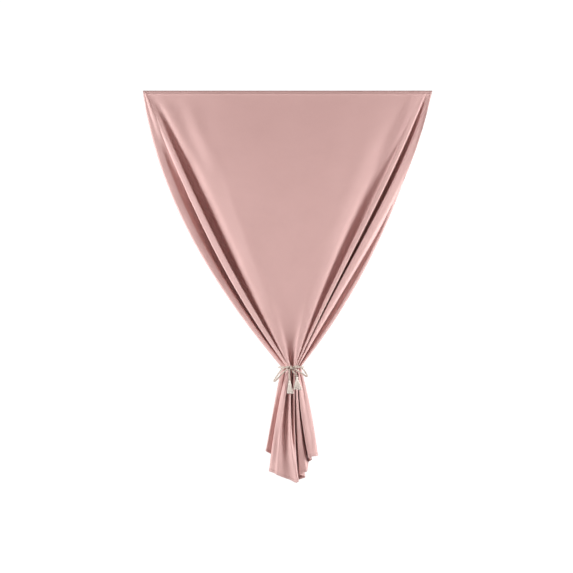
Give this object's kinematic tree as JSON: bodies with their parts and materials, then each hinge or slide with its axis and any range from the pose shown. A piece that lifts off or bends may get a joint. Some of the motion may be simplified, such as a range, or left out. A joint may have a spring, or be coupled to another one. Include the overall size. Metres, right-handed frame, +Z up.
{
  "type": "blackout curtain panel",
  "caption": "Straight-topped blackout curtain panel, gathered to a narrow waist by a tied cord with tassels, its pleats fanning out again into an uneven tail below.",
  "frame": {"origin": "middle of the straight top edge, at the back face of the cloth, where the curtain is hung", "axes": "+Z up, +X along the top edge to the viewer's right, -Y towards the room and +Y towards the wall or window"},
  "size_m": [1.4001, 0.1214, 1.8939],
  "materials": {
    "blackout_cloth": "matte with a soft sheen, dense plain weave",
    "cream_cord": "matte twisted cotton",
    "cream_yarn": "matte cotton yarn"
  },
  "bodies": {
    "root": {"curtain_panel": "blackout_cloth", "waist_cord": "cream_cord", "knot": "cream_cord", "left_bow_loop": "cream_cord", "right_bow_loop": "cream_cord", "left_cord_tail": "cream_cord", "right_cord_tail": "cream_cord", "left_tassel": "cream_yarn", "right_tassel": "cream_yarn"}
  },
  "joints": []
}
